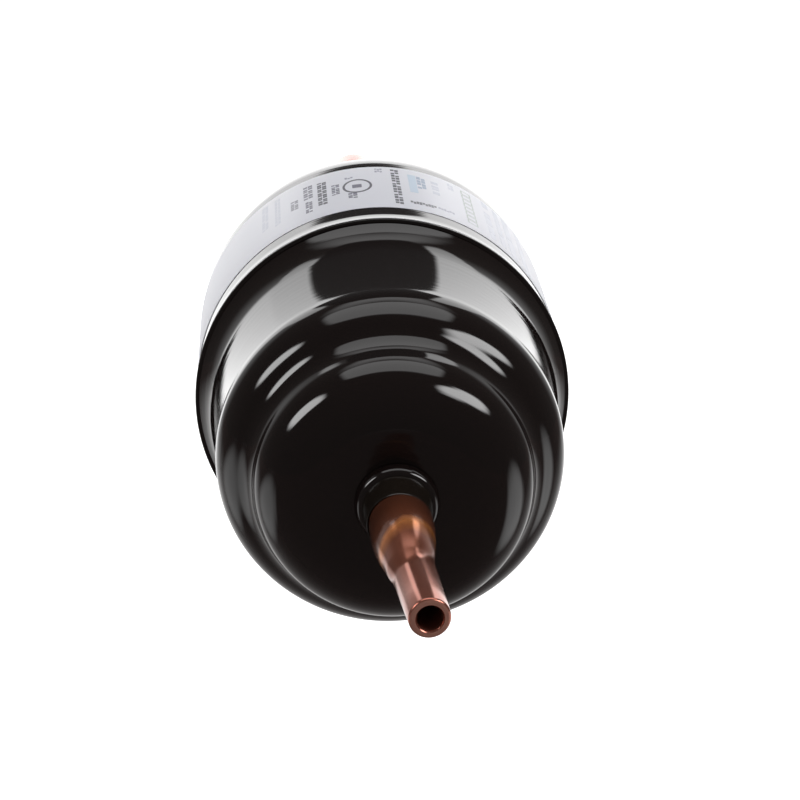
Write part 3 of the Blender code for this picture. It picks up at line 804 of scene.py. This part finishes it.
def addDrape(name, bm, glow, opening=None):
    mesh = bpy.data.meshes.new(name)
    bm.to_mesh(mesh)
    bm.free()
    material, tree, output = stageMaterial(name)
    shader = tree.nodes.new("ShaderNodeEmission")
    shader.inputs["Color"].default_value = (*glow, 1)
    tree.links.new(shader.outputs[0], output.inputs["Surface"])
    if opening:
        place = tree.nodes.new("ShaderNodeTexCoord")
        shift = tree.nodes.new("ShaderNodeMapping")
        shift.vector_type = "TEXTURE"
        shift.inputs["Location"].default_value = (0, opening["centre"], paleFloor["level"])
        shift.inputs["Scale"].default_value = (opening["halfWidth"], opening["halfLength"], 1)
        length = tree.nodes.new("ShaderNodeVectorMath")
        length.operation = "LENGTH"
        edge = tree.nodes.new("ShaderNodeMapRange")
        edge.interpolation_type = "SMOOTHSTEP"
        edge.inputs["From Min"].default_value = 1.0 - opening["soft"]
        edge.inputs["From Max"].default_value = 1.0
        clear = tree.nodes.new("ShaderNodeBsdfTransparent")
        mix = tree.nodes.new("ShaderNodeMixShader")
        tree.links.new(place.outputs["Object"], shift.inputs["Vector"])
        tree.links.new(shift.outputs[0], length.inputs[0])
        tree.links.new(length.outputs["Value"], edge.inputs["Value"])
        tree.links.new(edge.outputs[0], mix.inputs["Fac"])
        tree.links.new(clear.outputs[0], mix.inputs[1])
        tree.links.new(shader.outputs[0], mix.inputs[2])
        tree.links.new(mix.outputs[0], output.inputs["Surface"])
    mesh.materials.append(material)
    drape = bpy.data.objects.new(name, mesh)
    bpy.context.scene.collection.objects.link(drape)
    drape.visible_camera = False
    drape.visible_diffuse = False
    drape.visible_shadow = False


bm = bmesh.new()
bmesh.ops.create_icosphere(bm, subdivisions=4, radius=drapes["roomRadius"])
addDrape("darkRoom", bm, drapes["roomGlow"])
bm = bmesh.new()
bmesh.ops.create_grid(bm, x_segments=1, y_segments=1, size=drapes["floorHalf"])
bmesh.ops.translate(bm, verts=bm.verts, vec=(0, 0, paleFloor["level"] + drapes["overFloor"]))
addDrape("floorDrape", bm, drapes["floorGlow"], drapes["opening"])

# White where it is seen, faint where it lights the object
skyLevels = {"light": 0.20, "seen": 1.0}


def addWorld():
    world = bpy.data.worlds.new("studio")
    bpy.context.scene.world = world
    world.use_nodes = True
    tree = world.node_tree
    background = tree.nodes["Background"]
    background.inputs["Color"].default_value = (1, 1, 1, 1)
    level = tree.nodes.new("ShaderNodeMapRange")
    level.inputs["To Min"].default_value = skyLevels["light"]
    level.inputs["To Max"].default_value = skyLevels["seen"]
    tree.links.new(seenRays(tree), level.inputs["Value"])
    tree.links.new(level.outputs[0], background.inputs["Strength"])


# The camera stands as it did for the photograph, fitted to the circles of the body, placed from the mouth
view = {"lens": 118.2, "sensor": 36, "place": (-0.02251, -0.44019, 0.15978),
        "right": (0.99851, -0.05129, 0.01864), "up": (0.0, 0.34157, 0.93986),
        "away": (0.05457, 0.93846, -0.34106)}


def addCamera():
    camera = bpy.data.cameras.new("camera")
    camera.lens = view["lens"]
    camera.sensor_width = view["sensor"]
    eye = bpy.data.objects.new("camera", camera)
    bpy.context.scene.collection.objects.link(eye)
    turn = Matrix((view["right"], view["up"], -Vector(view["away"]))).transposed().to_4x4()
    eye.matrix_world = Matrix.Translation(Vector((0, mouthY, 0)) + Vector(view["place"])) @ turn
    bpy.context.scene.camera = eye


addWorld()
addCamera()
bpy.context.scene.view_settings.view_transform = "Standard"
print("studio done")

bpy.context.view_layer.update()
